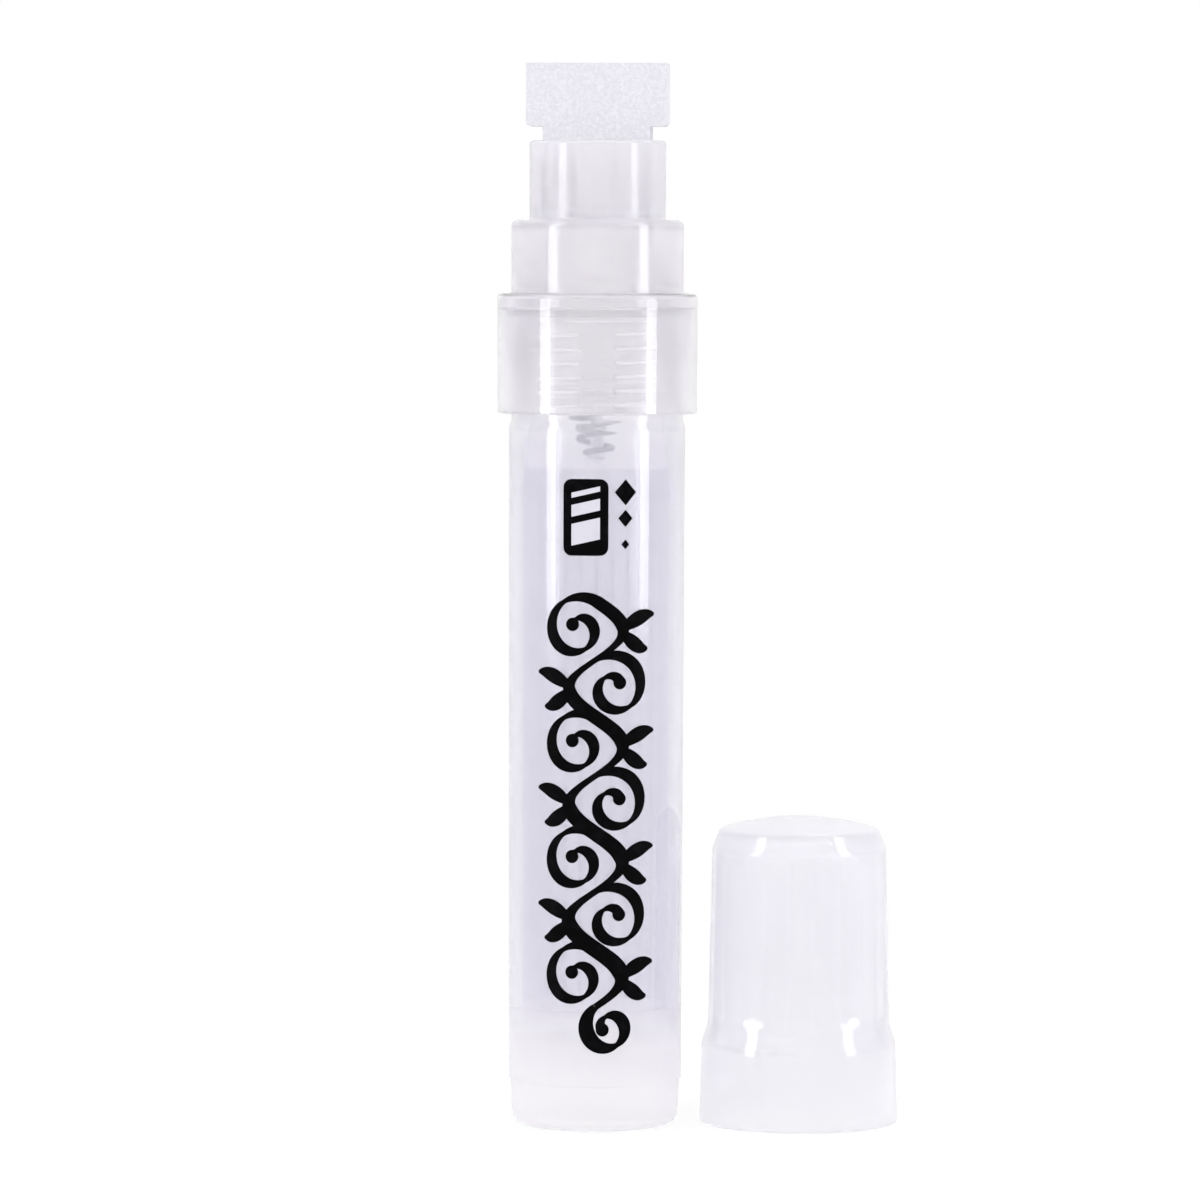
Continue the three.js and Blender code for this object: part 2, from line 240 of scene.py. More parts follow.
def eased(outline, edge, steps=4):
    """An outline of (radius, height) with rounded corners; a third number is a corner's own size."""
    closed = outline[0][0] > 0 or outline[-1][0] > 0
    result = []
    for i, corner in enumerate(outline):
        here = Vector(corner[:2])
        if not closed and i in (0, len(outline) - 1):
            result.append(here)
            continue
        before = Vector(outline[i - 1][:2]) - here
        after = Vector(outline[(i + 1) % len(outline)][:2]) - here
        size = corner[2] if len(corner) > 2 else edge
        reach = min(size, before.length * 0.45, after.length * 0.45)
        if reach < 1e-6:
            result.append(here)
            continue
        start = here + before.normalized() * reach
        end = here + after.normalized() * reach
        for k in range(steps + 1):
            t = k / steps
            result.append(start * (1 - t) ** 2 + here * (2 * t * (1 - t)) + end * t**2)
    return [(p.x, p.y) for p in result]


def stepped(outline, low, high, rise):
    """The outline with its side between two heights cut into steps, for a thread or flutes."""
    result = []
    for here, after in zip(outline, outline[1:] + outline[:1]):
        result.append(here)
        bottom, top = sorted((here[1], after[1]))
        if bottom <= low + 1e-6 and top >= high - 1e-6:
            cuts = max(2, round((top - bottom) / rise))
            for k in range(1, cuts):
                share = k / cuts
                result.append(tuple(a + (b - a) * share for a, b in zip(here, after)))
    return result


def new_piece(name, verts, faces, material, slot, body):
    """A smooth mesh piece, with verts in millimetres, that moves with a body."""
    mesh = bpy.data.meshes.new(name)
    mesh.from_pydata([Vector(v) * mm for v in verts], [], faces)
    shape = bmesh.new()
    shape.from_mesh(mesh)
    bmesh.ops.remove_doubles(shape, verts=shape.verts, dist=1e-7)
    bmesh.ops.recalc_face_normals(shape, faces=shape.faces)
    for face in shape.faces:
        face.smooth = True
    shape.to_mesh(mesh)
    shape.free()
    mesh.materials.append(material)
    piece = bpy.data.objects.new(name, mesh)
    bpy.context.collection.objects.link(piece)
    if body:
        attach(piece, body)
    return piece


def turned(outline, shape=None, sides=round_sides):
    """Points and faces of an outline turned about the axis; shape gives a point its own radius."""
    verts = []
    for r, z in outline:
        for k in range(sides):
            angle = 2 * math.pi * k / sides
            reach = shape(r, z, angle) if shape else r
            verts.append((reach * math.cos(angle), reach * math.sin(angle), z))
    closed = outline[0][0] > 0 or outline[-1][0] > 0
    faces = []
    for i in range(len(outline) if closed else len(outline) - 1):
        j = (i + 1) % len(outline)
        for k in range(sides):
            m = (k + 1) % sides
            faces.append((i * sides + k, i * sides + m, j * sides + m, j * sides + k))
    return verts, faces


def even_shading(piece):
    """Keeps wide faces flat beside small rounded edges."""
    weigh = piece.modifiers.new("even_shading", "WEIGHTED_NORMAL")
    weigh.weight = 80
    return piece


def natural_plastic(name, colour, cloud, milk, clearness, haze, bands=(), satin_z=None):
    """Unpigmented polypropylene: milky, with flow marks along the draw and a fine dulled skin.

    Each band (low, high, milk) is milkier and whiter between two heights. Above satin_z
    the mould was left matt, so that the skin there has no gloss.
    """
    material, mix = new_finish(name)
    flow = mix.noise(mix.place((1.0, 1.0, 0.22)), 0.0065, detail=3.0, rough=0.55)
    specks = mix.noise(mix.place(), 0.0012, detail=2.0)
    skin = mix.noise(mix.place((1.0, 1.0, 0.6)), 0.0004, detail=1.0)
    tint = mix.blend(flow.between(0.35, 0.7) * 0.8 + specks * 0.2, colour, cloud)
    height = mix.node("ShaderNodeSeparateXYZ", {}, {"Vector": mix.place()}, output="Z")
    clear_milk = milk
    for low, high, band_milk in bands:
        soft = 0.15 * (high - low)
        above_low = height.between(low - soft, low + soft)
        above_high = height.between(high - soft, high + soft)
        share = above_low * (1.0 - above_high)
        tint = mix.blend(share, tint, (1.0, 0.993, 1.0, 1))
        milk = share * (band_milk - clear_milk) + milk
    satin = height.between(satin_z, satin_z + 0.0005) if satin_z else 0.0
    wall = mix.node("ShaderNodeBsdfPrincipled", {}, {
        "Base Color": tint,
        "Roughness": flow * 0.08 + specks * 0.05 + (haze - 0.065) + satin * 0.04,
        "IOR": 1.49,
        "Coat Weight": 0.8 - satin * 0.8,
        "Coat Roughness": 0.04,
        "Coat IOR": 1.49,
        "Transmission Weight": clearness,
        "Normal": mix.bump(skin, 0.000012, 0.35),
    })
    spread = mix.node("ShaderNodeBsdfTranslucent", {}, {"Color": tint})
    shine = mix.node("ShaderNodeBsdfGlossy", {}, {"Color": (1, 1, 1, 1), "Roughness": 0.06})
    cloudy = mix.node("ShaderNodeMixShader", {}, {0: 0.05, 1: spread, 2: shine})
    whole = mix.node("ShaderNodeMixShader", {}, {0: milk, 1: wall, 2: cloudy})
    mix.node("ShaderNodeOutputMaterial", {}, {"Surface": whole})
    return material


# The barrel's and plug's plastic is whiter and milkier at the foot and round the shoulder and neck
# than on the body.
clear_plastic = natural_plastic(
    "clear_plastic", (0.95, 0.94, 0.978, 1), (0.935, 0.925, 0.965, 1),
    milk=0.18, clearness=0.95, haze=0.11,
    bands=((-0.008, 0.0115, 0.5), (0.0748, 0.0875, 0.2)),
)
tail_height = 4.95
tail_foot_r, tail_top_r, tail_fillet = 8.85, 9.07, 1.0
plug_r, plug_rim, plug_wall = 7.98, 9.45, 1.1
tail_floor = 1.3
tail_outline = eased([
    (0, 0),
    (tail_foot_r, 0, 1.6 * tail_fillet),
    (tail_top_r, tail_height, 0.04),
    (plug_r, tail_height, 0.05),
    (plug_r, plug_rim, 0.4),
    (plug_r - plug_wall, plug_rim, 0.15),
    (plug_r - plug_wall, tail_floor, 0.6),
    (0, tail_floor),
], edge=0.2)
tail_plug = new_piece("tail_cup", *turned(tail_outline), clear_plastic, "clear_plastic", "barrel")
even_shading(tail_plug)
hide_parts("tail_plug")

# Barrel: an extruded and blown tube of clear natural polypropylene that holds the ink. It widens
# slightly to a chamfered shoulder, and its neck carries a right-hand thread.
barrel_foot_r, barrel_top_r, barrel_wall = 9.23, 9.42, 1.2
tube_foot_z = tail_height + 0.02
shoulder_z, neck_foot_z, neck_top_z = 74.6, 75.5, 86.0
neck_band_r, neck_core_r, neck_bore_r = 9.15, 8.55, 7.45
neck_band_top = neck_foot_z + 1.6
inner_slope = 6.0
thread_pitch, thread_depth, thread_start = 1.5, 0.6, 0.2
neck_thread_foot, neck_thread_top = neck_band_top + 0.3, neck_top_z - 0.9


def neck_thread(r, z, angle):
    """A right-hand thread on the neck's outside, run out over its last half turns."""
    if r < neck_core_r - 0.01:
        return r
    ridge = math.cos(math.pi * (z / thread_pitch - angle / (2 * math.pi) - thread_start)) ** 2
    ends = min(z - neck_thread_foot, neck_thread_top - z) / (0.5 * thread_pitch)
    return r + thread_depth * ridge * max(0.0, min(1.0, ends))


barrel_outline = stepped(
    eased([
        (barrel_foot_r, tube_foot_z, 0.05),
        (barrel_top_r, shoulder_z, 0.25),
        (neck_band_r, neck_foot_z, 0.2),
        (neck_band_r, neck_band_top, 0.15),
        (neck_core_r, neck_band_top + 0.3, 0.15),
        (neck_core_r, neck_top_z, 0.35),
        (neck_bore_r, neck_top_z, 0.15),
        (neck_bore_r, shoulder_z, 2.0),
        (barrel_top_r - barrel_wall, shoulder_z - inner_slope, 2.0),
        (barrel_foot_r - barrel_wall, tube_foot_z, 0.15),
    ], edge=0.2),
    neck_thread_foot + 0.2, neck_thread_top, thread_pitch / 10,
)
barrel = new_piece(
    "barrel_tube", *turned(barrel_outline, neck_thread), clear_plastic, "clear_plastic", "barrel"
)
even_shading(barrel)
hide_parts("barrel")

# Print: black screen ink on the barrel's front, laid on as thin films that follow its taper: a
# scrolled border as a broad pen draws it, and above it a plate that shows three widths of stroke.
class Film:
    """Flat marks of one ink on the barrel, drawn in millimetres round it and up it."""

    def __init__(self, lift, bearing=0.0):
        self.lift = lift
        self.bearing = math.radians(bearing)
        self.verts = []
        self.faces = []

    def on_barrel(self, across, z):
        taper = (z - tail_height) / (shoulder_z - tail_height)
        r = barrel_foot_r + (barrel_top_r - barrel_foot_r) * taper + self.lift
        angle = across / barrel_top_r + self.bearing - math.pi / 2
        return (r * math.cos(angle), r * math.sin(angle), z)

    def line(self, path, widths):
        """A line with its own width at each point."""
        first = len(self.verts)
        for i, point in enumerate(path):
            along = Vector(path[min(i + 1, len(path) - 1)]) - Vector(path[max(i - 1, 0)])
            side = Vector((-along.y, along.x)).normalized() * widths[i] / 2
            for spot in (Vector(point) - side, Vector(point), Vector(point) + side):
                self.verts.append(self.on_barrel(*spot))
        for i in range(len(path) - 1):
            for k in range(2):
                corner = first + i * 3 + k
                self.faces.append((corner, corner + 1, corner + 4, corner + 3))

    def pen_line(self, path, thick, thin, ends=(1.0, 1.0)):
        """A line as a broad pen draws it, thin along the pen's edge and thick across it."""
        widths = []
        for i in range(len(path)):
            ahead, behind = path[min(i + 1, len(path) - 1)], path[max(i - 1, 0)]
            heading = math.atan2(ahead[1] - behind[1], ahead[0] - behind[0])
            share = i / (len(path) - 1)
            press = ends[0] + (ends[1] - ends[0]) * share
            widths.append((thin + (thick - thin) * abs(math.sin(heading - pen_angle))) * press)
        self.line(path, widths)

    def patch(self, outline, strip=0.7):
        """A filled outline, cut into upright strips so that it bends round the barrel."""
        shape = bmesh.new()
        shape.faces.new([shape.verts.new((x, z, 0)) for x, z in outline])
        low, high = min(x for x, _ in outline), max(x for x, _ in outline)
        for k in range(1, round((high - low) / strip)):
            everything = list(shape.verts) + list(shape.edges) + list(shape.faces)
            cut = Vector((low + k * strip, 0, 0))
            bmesh.ops.bisect_plane(shape, geom=everything, plane_co=cut, plane_no=(1, 0, 0))
        first = len(self.verts)
        shape.verts.index_update()
        self.verts += [self.on_barrel(v.co.x, v.co.y) for v in shape.verts]
        self.faces += [tuple(first + v.index for v in f.verts) for f in shape.faces]
        shape.free()

    def piece(self, name, ink):
        return new_piece(name, self.verts, self.faces, ink, "clear_plastic", "barrel")


def screen_ink(name, colour, thin_colour, gloss, shine, cover):
    """A screen-printed film: even, with the mesh's faint grain and places where it lies thin."""
    material, mix = new_finish(name)
    film = mix.noise(mix.place(), 0.0011, detail=3.0)
    grain = mix.noise(mix.place(), 0.00016, detail=1.0)
    thin = film.between(0.45, 0.75) * 0.5 + grain.between(0.6, 0.8) * 0.3
    mix.surface({
        "Base Color": mix.blend(thin, colour, thin_colour),
        "Roughness": film * 0.15 + gloss,
        "Specular IOR Level": shine,
        "Alpha": (1.0 - thin * 0.006) * cover,
        "Normal": mix.bump(grain, 0.000006, 0.4),
    })
    return material


def arc(x, z, radius, start, end, steps):
    """Points round a centre between two angles; radius gives the reach at a share of the way."""
    points = []
    for k in range(steps + 1):
        share = k / steps
        angle = start + (end - start) * share
        points.append((x + radius(share) * math.cos(angle), z + radius(share) * math.sin(angle)))
    return points


def dot(x, z, radius, sides=24):
    """The outline of a round dot."""
    return arc(x, z, lambda share: radius, 0, 2 * math.pi, sides)[:-1]


def plate(left, right, low, high, corner, steps=6):
    """The outline of a rectangle with rounded corners."""
    centres = ((right - corner, high - corner), (left + corner, high - corner),
               (left + corner, low + corner), (right - corner, low + corner))
    outline = []
    for quarter, (x, z) in enumerate(centres):
        start = math.pi / 2 * quarter
        outline += arc(x, z, lambda share: corner, start, start + math.pi / 2, steps)
    return outline


black_ink = screen_ink(
    "black_ink", (0.0012, 0.0012, 0.0015, 1), (0.004, 0.004, 0.005, 1),
    gloss=0.25, shine=0.03, cover=1.0,
)
marks = Film(lift=0.02)
pen_angle = math.radians(32)
vine_top, wave_length, wave_reach, half_waves = 56.6, 12.3, 2.9, 7
vine_steps, vine_thick, vine_thin, vine_top_r = 40, 1.9, 0.7, 0.6
vine = []
for k in range(half_waves * vine_steps + 1):
    turn = math.pi * k / vine_steps
    vine.append((wave_reach * math.sin(turn), vine_top - wave_length * turn / (2 * math.pi)))
marks.pen_line(vine, vine_thick, vine_thin, ends=(0.77, 1.0))
marks.patch(dot(0, vine_top, vine_top_r))
slope = math.atan2(wave_length, 2 * math.pi * wave_reach)
curl_steps, curl_thick, curl_thin = 90, 1.45, 0.5
curl_core, curl_end_r = 0.75, 0.72
leaf_steps, leaf_tip, leaf_pair = 24, 0.05, ((1.6, 4.3), (-1.9, 3.4))
for half in range(half_waves + 1):
    side = 1 if half % 2 == 0 else -1
    joint_z = vine_top - wave_length * half / 2
    last = half == half_waves
    reach = 2.7 if last else 3.6
    start = math.pi / 2 - slope
    swing = math.radians(-430 if last else 440)
    curl = [
        (side * x, joint_z + z)
        for x, z in arc(
            -reach * math.cos(start), -reach * math.sin(start),
            lambda share: (reach - curl_core) * (1 - share) ** 0.85 + curl_core,
            start, start + swing, curl_steps,
        )
    ]
    marks.pen_line(curl, curl_thick, curl_thin, ends=(1.3 if last else 1.0, 0.8))
    marks.patch(dot(*curl[-1], curl_end_r))
    if last:
        break
    bulge_z = joint_z - wave_length / 4
    for lean, length in leaf_pair:
        leaf, widths = [], []
        for k in range(leaf_steps + 1):
            share = k / leaf_steps
            leaf.append((
                side * (wave_reach - 0.3 + length * math.sin(share * 1.25)),
                bulge_z + lean * (share + 0.4 * math.sin(math.pi * share)),
            ))
            swell = math.sin(math.pi * share**0.8) ** 1.2 * (1 - 0.35 * share)
            widths.append(0.3 + 1.5 * swell)
        widths[-1] = leaf_tip
        marks.line(leaf, widths)
plate_left, plate_right, plate_low, plate_high = -3.6, 1.25, 61.4, 69.5
plate_corner = 0.9
marks.patch(plate(plate_left, plate_right, plate_low, plate_high, plate_corner))
lozenge_x, lozenge_foot, lozenge_gap, lozenge_stretch = 3.1, 62.6, 2.75, 1.15
for k, half in enumerate((0.45, 0.8, 1.2)):
    centre_z = lozenge_foot + lozenge_gap * k
    rise = half * lozenge_stretch
    marks.patch([
        (lozenge_x + half, centre_z), (lozenge_x, centre_z + rise),
        (lozenge_x - half, centre_z), (lozenge_x, centre_z - rise),
    ])
marks.piece("pen_print", black_ink)

pale_ink = screen_ink(
    "pale_ink", (0.62, 0.615, 0.67, 1), (0.56, 0.555, 0.61, 1), gloss=0.4, shine=0.3, cover=1.0
)
pale_marks = Film(lift=0.032)
swatch_top, swatch_side, swatch_rise, swatch_gap = plate_high - 1.1, 0.9, 0.35, 0.75
swatch_ends = [(plate_left + swatch_side, -swatch_rise), (plate_right - swatch_side, swatch_rise)]
for stroke in (0.55, 1.25, 2.3):
    pale_marks.patch(
        [(x, swatch_top - stroke + z) for x, z in swatch_ends]
        + [(x, swatch_top + z) for x, z in reversed(swatch_ends)]
    )
    swatch_top -= stroke + swatch_gap
pale_marks.piece("stroke_widths", pale_ink)

# Writing panel: a thin bluish film printed on the barrel's back and ruled for notes, with
# nothing written on it. It shows faintly through the barrel.
panel_ink = screen_ink(
    "panel_ink", (0.56, 0.57, 0.7, 1), (0.64, 0.64, 0.75, 1), gloss=0.5, shine=0.2, cover=0.33
)
rule_ink = screen_ink(
    "rule_ink", (0.3, 0.32, 0.42, 1), (0.4, 0.42, 0.52, 1), gloss=0.5, shine=0.2, cover=0.55
)
panel_low, panel_high, panel_half = 10.3, 71.0, 13.4
panel_film = Film(lift=0.02, bearing=180)
panel_film.patch(plate(-panel_half, panel_half, panel_low, panel_high, corner=1.2))
panel_film.piece("writing_panel", panel_ink)
rule_film = Film(lift=0.03, bearing=180)
rule_gap, rule_width, rule_inset, rules_a_side = 1.9, 0.2, 2.0, 6
for k in range(-rules_a_side, rules_a_side + 1):
    ends = [(k * rule_gap, panel_low + rule_inset), (k * rule_gap, panel_high - rule_inset)]
    rule_film.line(ends, [rule_width] * 2)
rule_film.piece("ruled_lines", rule_ink)

# Seal: a soft white washer that lies on the neck's rim.
seal_white, mix = new_finish("seal_white")
cells = mix.noise(mix.place(), 0.0003, detail=3.0)
mix.surface({
    "Base Color": mix.blend(cells, (0.94, 0.93, 0.96, 1), (0.88, 0.87, 0.91, 1)),
    "Roughness": cells * 0.2 + 0.5,
    "Normal": mix.bump(cells, 0.00002),
})
flange_foot_z = 86.6
seal_bore_r = neck_bore_r + 0.15
seal_outline = eased([
    (seal_bore_r, neck_top_z),
    (neck_core_r, neck_top_z),
    (neck_core_r, flange_foot_z),
    (seal_bore_r, flange_foot_z),
], edge=0.15)
seal = new_piece("seal_washer", *turned(seal_outline), seal_white, "seal_plastic", "seal")
even_shading(seal)
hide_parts("seal_ring")

# Front section: one moulding of milky natural polypropylene. The threaded collar screws onto the
# neck, the step above it holds the cap, and ribs in the socket grip the nib.
front_plastic = natural_plastic(
    "front_plastic", (1.0, 0.995, 1.0, 1), (0.994, 0.986, 1.0, 1),
    milk=0.24, clearness=0.97, haze=0.08,
    bands=((0.0894, 0.0963, 0.48), (0.0974, 0.1074, 0.5)), satin_z=0.0966,
)
front_turn = math.radians(-4.3)
collar_foot_z, collar_top_z, ledge_z = 76.2, 89.0, 87.4
seat_top_z, roof_z, socket_top_z = 96.8, 95.8, 105.2
collar_foot_r, collar_top_r, collar_bore_r = 10.65, 10.7, 9.25
seat_r, seat_bore_r = 9.2, 7.95
socket_r, socket_bore_r = 7.274, 6.374
front_outline = eased([
    (collar_foot_r, collar_foot_z, 0.15),
    (collar_top_r, collar_top_z, 1.5),
    (seat_r, collar_top_z, 0.12),
    (seat_r, seat_top_z, 0.8),
    (socket_r, seat_top_z, 0.2),
    (socket_r, socket_top_z, 0.5),
    (socket_bore_r, socket_top_z, 0.35),
    (socket_bore_r, roof_z, 0.2),
    (seat_bore_r, roof_z, 0.4),
    (seat_bore_r, ledge_z, 0.2),
    (collar_bore_r, ledge_z, 0.2),
    (collar_bore_r, collar_foot_z, 0.4),
], edge=0.2)
front = new_piece("front_moulding", *turned(front_outline), front_plastic, "front_plastic", None)

rib_half, rib_edge, rib_sink = 0.4, 0.12, 0.35
rib_foot_z, rib_top_z = roof_z - 0.2, socket_top_z - 1.5
rib_near_y = 2.65
box_quads = ((0, 1, 2, 3), (4, 5, 6, 7), (0, 1, 5, 4), (1, 2, 6, 5), (2, 3, 7, 6), (3, 0, 4, 7))
for rib_x in (-4.9, -1.9, 1.9, 4.9):
    for side in (-1, 1):
        wall_y = math.sqrt((socket_r - rib_sink) ** 2 - rib_x**2)
        shape = bmesh.new()
        corners = [
            (rib_x + aside, side * y, z)
            for z in (rib_foot_z, rib_top_z)
            for aside, y in ((-rib_half, rib_near_y), (rib_half, rib_near_y),
                             (rib_half, wall_y), (-rib_half, wall_y))
        ]
        points = [shape.verts.new(Vector(c) * mm) for c in corners]
        for quad in box_quads:
            shape.faces.new([points[q] for q in quad])
        bmesh.ops.recalc_face_normals(shape, faces=shape.faces)
        edges = list(shape.edges)
        bmesh.ops.bevel(
            shape, geom=edges, offset=rib_edge * mm, segments=2, affect="EDGES", profile=0.5
        )
        shape.transform(Matrix.Rotation(front_turn, 4, "Z"))
        rib_mesh = bpy.data.meshes.new("rib")
        shape.to_mesh(rib_mesh)
        shape.free()
        rib = bpy.data.objects.new("rib", rib_mesh)
        bpy.context.collection.objects.link(rib)
        weld = front.modifiers.new("rib", "BOOLEAN")
        weld.operation = "UNION"
        weld.solver = "EXACT"
        weld.object = rib
bpy.context.view_layer.update()
welded = front.evaluated_get(bpy.context.evaluated_depsgraph_get())
moulded = bpy.data.meshes.new_from_object(welded)
front.modifiers.clear()
front.data = moulded
for rib in [o for o in bpy.data.objects if o.name.startswith("rib")]:
    bpy.data.objects.remove(rib)
for face in moulded.polygons:
    face.use_smooth = True
moulded.set_sharp_from_angle(angle=math.radians(40))
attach(front, "front")
even_shading(front).modifiers[0].keep_sharp = True
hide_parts("front_section")

# Collar's thread: ridges inside the collar which fit between those of the neck, in a whiter and less
# clear plastic than the collar's, a painted highlight for the glints on the thread's crests. The
# thread is broken into six short ridges a turn, placed so that these whiter ridges stand at the
# sides and leave a gap at the front.
def tube(centres, radius, sides):
    """Points and faces of a round wire along its centre line, closed at both ends."""
    verts, faces = [], []
    for i, centre in enumerate(centres):
        along = (centres[min(i + 1, len(centres) - 1)] - centres[max(i - 1, 0)]).normalized()
        out = Vector((centre.x, centre.y, 0)).normalized()
        across = along.cross(out).normalized()
        out = across.cross(along).normalized()
        for k in range(sides):
            angle = 2 * math.pi * k / sides
            spoke = out * math.cos(angle) + across * math.sin(angle)
            verts.append(centre + spoke * radius)
    for i in range(len(centres) - 1):
        for k in range(sides):
            a, b = i * sides + k, i * sides + (k + 1) % sides
            faces.append((a, b, b + sides, a + sides))
    faces.append(tuple(range(sides)))
    faces.append(tuple(range(len(verts) - sides, len(verts))))
    return verts, faces


# Whiter, mostly opaque finish of the collar's ridges: a painted highlight on the thread's crests.
ridge_painted_glint = natural_plastic(
    "ridge_painted_glint", (1.0, 1.0, 1.0, 1), (0.99, 0.988, 1.0, 1), milk=0.4, clearness=0.2, haze=0.2
)
ridge_r, ridge_size, ridge_steps, ridge_sides = 9.04, 0.17, 10, 8
ridges_a_turn = 6
ridge_span = math.radians(38)
collar_thread_foot, collar_thread_top = collar_foot_z + 0.7, collar_foot_z + 8.7


def turns_up_to(z):
    """Turns of the collar's thread from its start, half a pitch beside the neck's, to a height."""
    return z / thread_pitch - thread_start - 0.5


first_ridge = math.ceil(ridges_a_turn * turns_up_to(collar_thread_foot))
last_ridge = math.floor(ridges_a_turn * turns_up_to(collar_thread_top))
ridge_verts, ridge_faces = [], []
for k in range(first_ridge, last_ridge + 1):
    path = []
    for step in range(ridge_steps + 1):
        angle = 2 * math.pi * k / ridges_a_turn + ridge_span * (step / ridge_steps - 0.5)
        z = thread_pitch * (thread_start + 0.5 + angle / (2 * math.pi))
        path.append(Vector((ridge_r * math.cos(angle), ridge_r * math.sin(angle), z)))
    verts, faces = tube(path, ridge_size, ridge_sides)
    ridge_faces += [tuple(len(ridge_verts) + v for v in face) for face in faces]
    ridge_verts += verts
new_piece("collar_thread", ridge_verts, ridge_faces, ridge_painted_glint, "front_plastic", "front")

# Valve holder: a stepped cup of matt polyethylene clamped by its flange between seal and ledge.
# Its floor is the valve seat, and a grooved lip below takes the spring's wide end.
valve_plastic = natural_plastic(
    "valve_plastic", (1.0, 0.996, 1.0, 1), (0.996, 0.99, 1.0, 1),
    milk=0.6, clearness=0.95, haze=0.15,
)
holder_foot_z, valve_seat_z, holder_top_z = 78.3, 79.4, 93.0
cup_floor_z = valve_seat_z + 1.2
spring_seat_z = 79.005
wire = 0.55
lip_r, lip_bore_r, groove_r, groove_foot_z = 5.695, 4.495, 4.895, 78.61
cup_r, cup_bore_r, valve_hole_r = 7.3, 6.3, 2.4
sleeve_r = seat_bore_r - 0.05
sleeve_bore_r = sleeve_r - 1.0
holder_outline = eased([
    (lip_bore_r, holder_foot_z, 0.05),
    (lip_r, holder_foot_z, 0.2),
    (lip_r, valve_seat_z, 0.1),
    (cup_r, valve_seat_z, 0.4),
    (cup_r, flange_foot_z, 0.1),
    (neck_band_r, flange_foot_z, 0.15),
    (neck_band_r, ledge_z, 0.15),
    (sleeve_r, ledge_z, 0.1),
    (sleeve_r, holder_top_z, 0.4),
    (sleeve_bore_r, holder_top_z, 0.2),
    (sleeve_bore_r, ledge_z, 0.2),
    (cup_bore_r, flange_foot_z, 0.2),
    (cup_bore_r, cup_floor_z, 0.4),
    (valve_hole_r, cup_floor_z, 0.4),
    (valve_hole_r, valve_seat_z, 0.05),
    (groove_r, valve_seat_z, 0.05),
    (groove_r, groove_foot_z, 0.05),
    (lip_bore_r, groove_foot_z - 0.06, 0.05),
], edge=0.1)
holder = new_piece("valve_cup", *turned(holder_outline), valve_plastic, "valve_plastic", "front")
even_shading(holder)
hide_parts("valve_holder")

stem = bpy.data.objects["valve_plunger"]
stem.data.materials.clear()
stem.data.materials.append(valve_plastic)

# Spring: conical, wound from drawn stainless wire, wide end up.
spring_wire, mix = new_finish("spring_wire")
draw_marks = mix.noise(mix.place((1.0, 1.0, 6.0)), 0.0002, detail=2.0)
mix.surface({
    "Base Color": mix.blend(draw_marks, (0.5, 0.51, 0.55, 1), (0.4, 0.41, 0.45, 1)),
    "Metallic": 1.0,
    "Roughness": draw_marks * 0.15 + 0.22,
})
spring_wide_r, spring_narrow_r = 4.5, 1.12
spring_length, spring_turns = 6.6, 4.55
spring_start = math.radians(-69)


def spring_fall(turn):
    """Pitches that the wire has come down after so many turns; its first and last run out flat."""
    if turn < 1:
        return turn * turn / 2
    if turn > spring_turns - 1:
        return spring_turns - 1 - (spring_turns - turn) ** 2 / 2
    return turn - 0.5


spring_steps = 220
spring_line = []
for k in range(spring_steps + 1):
    turn = spring_turns * k / spring_steps
    r = spring_wide_r + (spring_narrow_r - spring_wide_r) * turn / spring_turns
    angle = spring_start - 2 * math.pi * turn + front_turn
    z = spring_seat_z - spring_length * spring_fall(turn) / (spring_turns - 1)
    spring_line.append(Vector((r * math.cos(angle), r * math.sin(angle), z)))
wound = tube(spring_line, wire / 2, sides=14)
spring = new_piece("cone_spring", *wound, spring_wire, "spring_steel", None)
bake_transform(spring)
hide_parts("valve_spring")

# Nib: a block of pressed white polyester felt, cut to a wide chisel head on a narrower tang.
felt, mix = new_finish("felt")
tufts = mix.noise(mix.place(), 0.0004, detail=4.0, rough=0.7)
strands = mix.noise(mix.place((1.0, 1.0, 7.0), (0.0, 0.6, 0.0)), 0.0016, detail=2.0)
for tilt, squeeze in ((-0.9, (1.0, 1.0, 8.0)), (0.2, (8.0, 1.0, 1.0)), (1.2, (1.0, 1.0, 9.0))):
    strands = strands.or_more(mix.noise(mix.place(squeeze, (0.0, tilt, 0.0)), 0.0017, detail=2.0))
nap = tufts * 0.75 + strands * 0.25
# Lighter where the nap stands up and darker in its hollows: painted light and shade that follow the
# bump's height.
nap_painted_light = nap.between(0.42, 0.68)
mix.surface({
    "Base Color": mix.blend(nap_painted_light, (0.66, 0.657, 0.695, 1), (0.755, 0.752, 0.78, 1)),
    "Roughness": 1.0 - nap * 0.1,
    "Sheen Weight": 0.15,
    "Normal": mix.bump(nap, 0.00022, 0.8),
})
nib = bpy.data.objects["nib"]
nib.data.materials.clear()
nib.data.materials.append(felt)

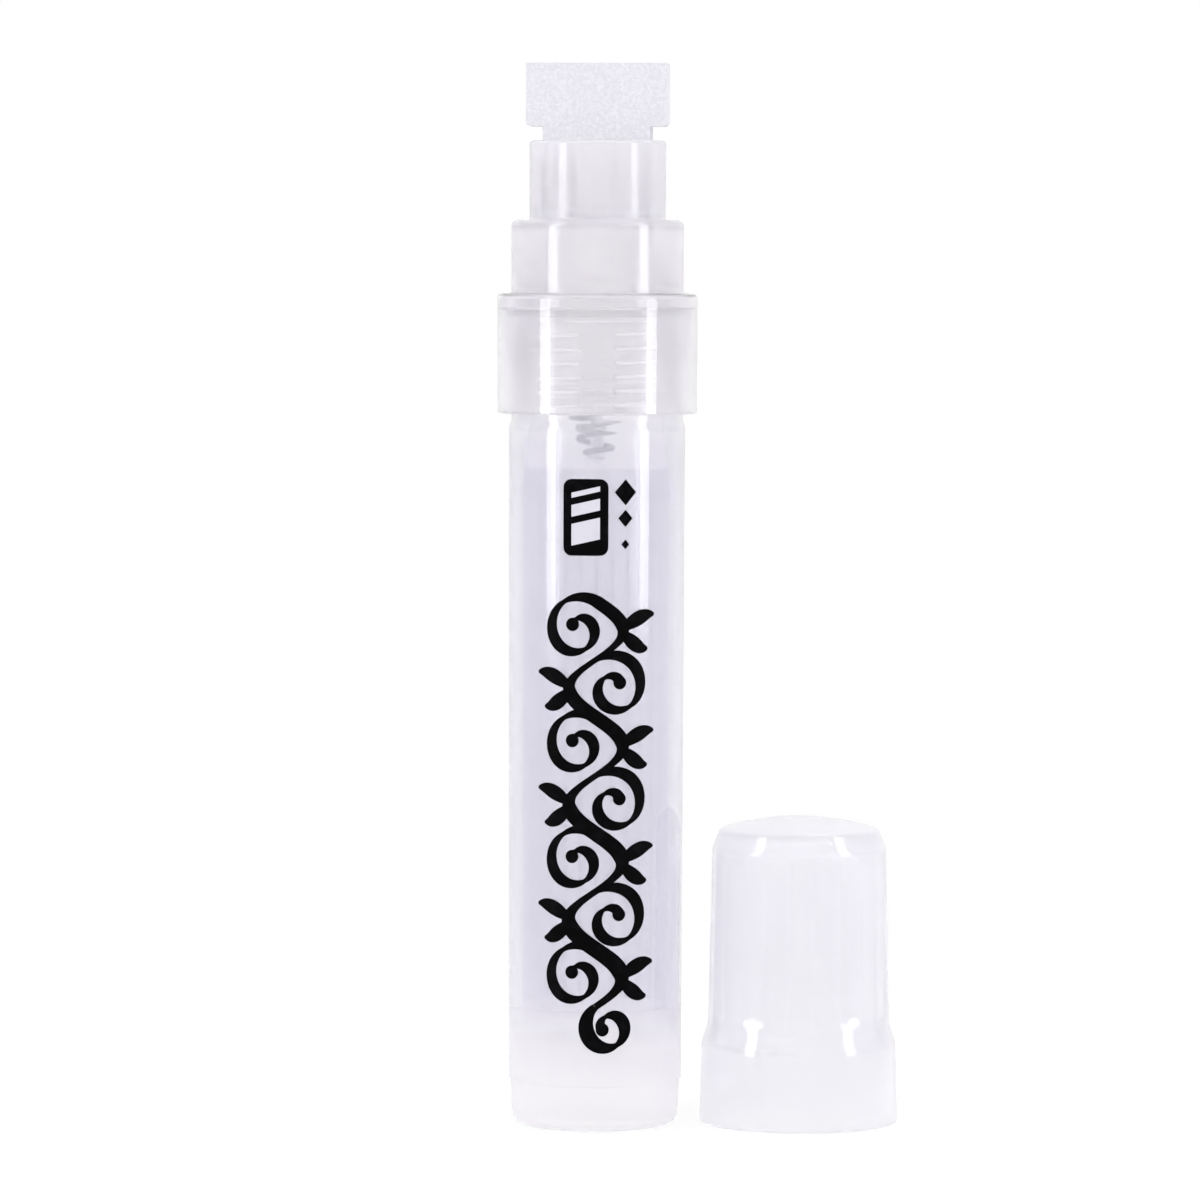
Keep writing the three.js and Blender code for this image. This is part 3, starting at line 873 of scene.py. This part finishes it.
# Cap: milky natural polypropylene, blown thin, with a fluted grip and a wider mouth.
cap_plastic = natural_plastic(
    "cap_plastic", (0.975, 0.972, 0.99, 1), (0.965, 0.962, 0.982, 1),
    milk=0.42, clearness=0.96, haze=0.08,
)
cap_turn = math.radians(0.7)
cap_aside = (21.9, 1.9)
cap_height, cap_rim_z, cap_dome = 32.9, 31.6, 1.3
cap_top_r, cap_body_top_r, cap_body_foot_r = 8.49, 9.36, 9.74
cap_body_top_z, cap_body_foot_z = 29.55, 10.6
cap_band_top_r, cap_band_z, mouth_r, mouth_bore_r = 10.43, 8.6, 10.65, 9.32
cap_wall, cap_roof, mouth_step_z = 1.02, 1.2, 8.3
snap_z, snap_half, snap_depth = 6.3, 0.35, 0.06
flutes, flute_depth, flute_top_r, points_a_flute = 22, 0.2, 8.85, 14
flute_inset, flute_run_out = 0.4, 0.6


def cap_flute(r, z, angle):
    """Shallow hollows round the body that meet in narrow ridges and run out at both ends."""
    if r < flute_top_r:
        return r
    inside = min(z - cap_body_foot_z, cap_body_top_z - z) - flute_inset
    ends = min(1.0, max(0.0, inside / flute_run_out))
    return r - flute_depth * abs(math.sin(flutes / 2 * angle)) * ends


def dome_z(share):
    """The domed top's height at a share of its radius."""
    return cap_rim_z + cap_dome * (1 - share**2)


cap_outline = stepped(
    eased([
        (mouth_bore_r, 0, 0.3),
        (mouth_r, 0, 0.35),
        (cap_band_top_r, cap_band_z, 0.6),
        (cap_body_foot_r, cap_body_foot_z, 0.7),
        (cap_body_top_r, cap_body_top_z, 0.3),
        (cap_top_r, cap_rim_z, 0.35),
        (cap_top_r * 0.75, dome_z(0.75), 0.9),
        (cap_top_r * 0.5, dome_z(0.5), 0.9),
        (cap_top_r * 0.25, dome_z(0.25), 0.9),
        (0, cap_height),
        (0, cap_height - cap_roof),
        (cap_top_r * 0.5, dome_z(0.5) - cap_roof, 0.9),
        (cap_top_r - cap_wall, cap_rim_z - cap_roof, 0.6),
        (cap_body_top_r - cap_wall, cap_body_top_z - 0.6, 0.6),
        (cap_body_foot_r - cap_wall, mouth_step_z, 0.3),
        (mouth_bore_r, mouth_step_z, 0.3),
        (mouth_bore_r, snap_z + snap_half, 0.1),
        (mouth_bore_r - snap_depth, snap_z, 0.1),
        (mouth_bore_r, snap_z - snap_half, 0.1),
    ], edge=0.2),
    cap_body_foot_z + 1.2, cap_body_top_z - 1.0, 0.5,
)
verts, faces = turned(cap_outline, cap_flute, sides=flutes * points_a_flute)
stand = Matrix.Translation((*cap_aside, 0)) @ Matrix.Rotation(cap_turn, 4, "Z")
stood = [stand @ Vector(v) for v in verts]
cap = new_piece("cap_shell", stood, faces, cap_plastic, "cap_plastic", "cap")
even_shading(cap)
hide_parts("cap")
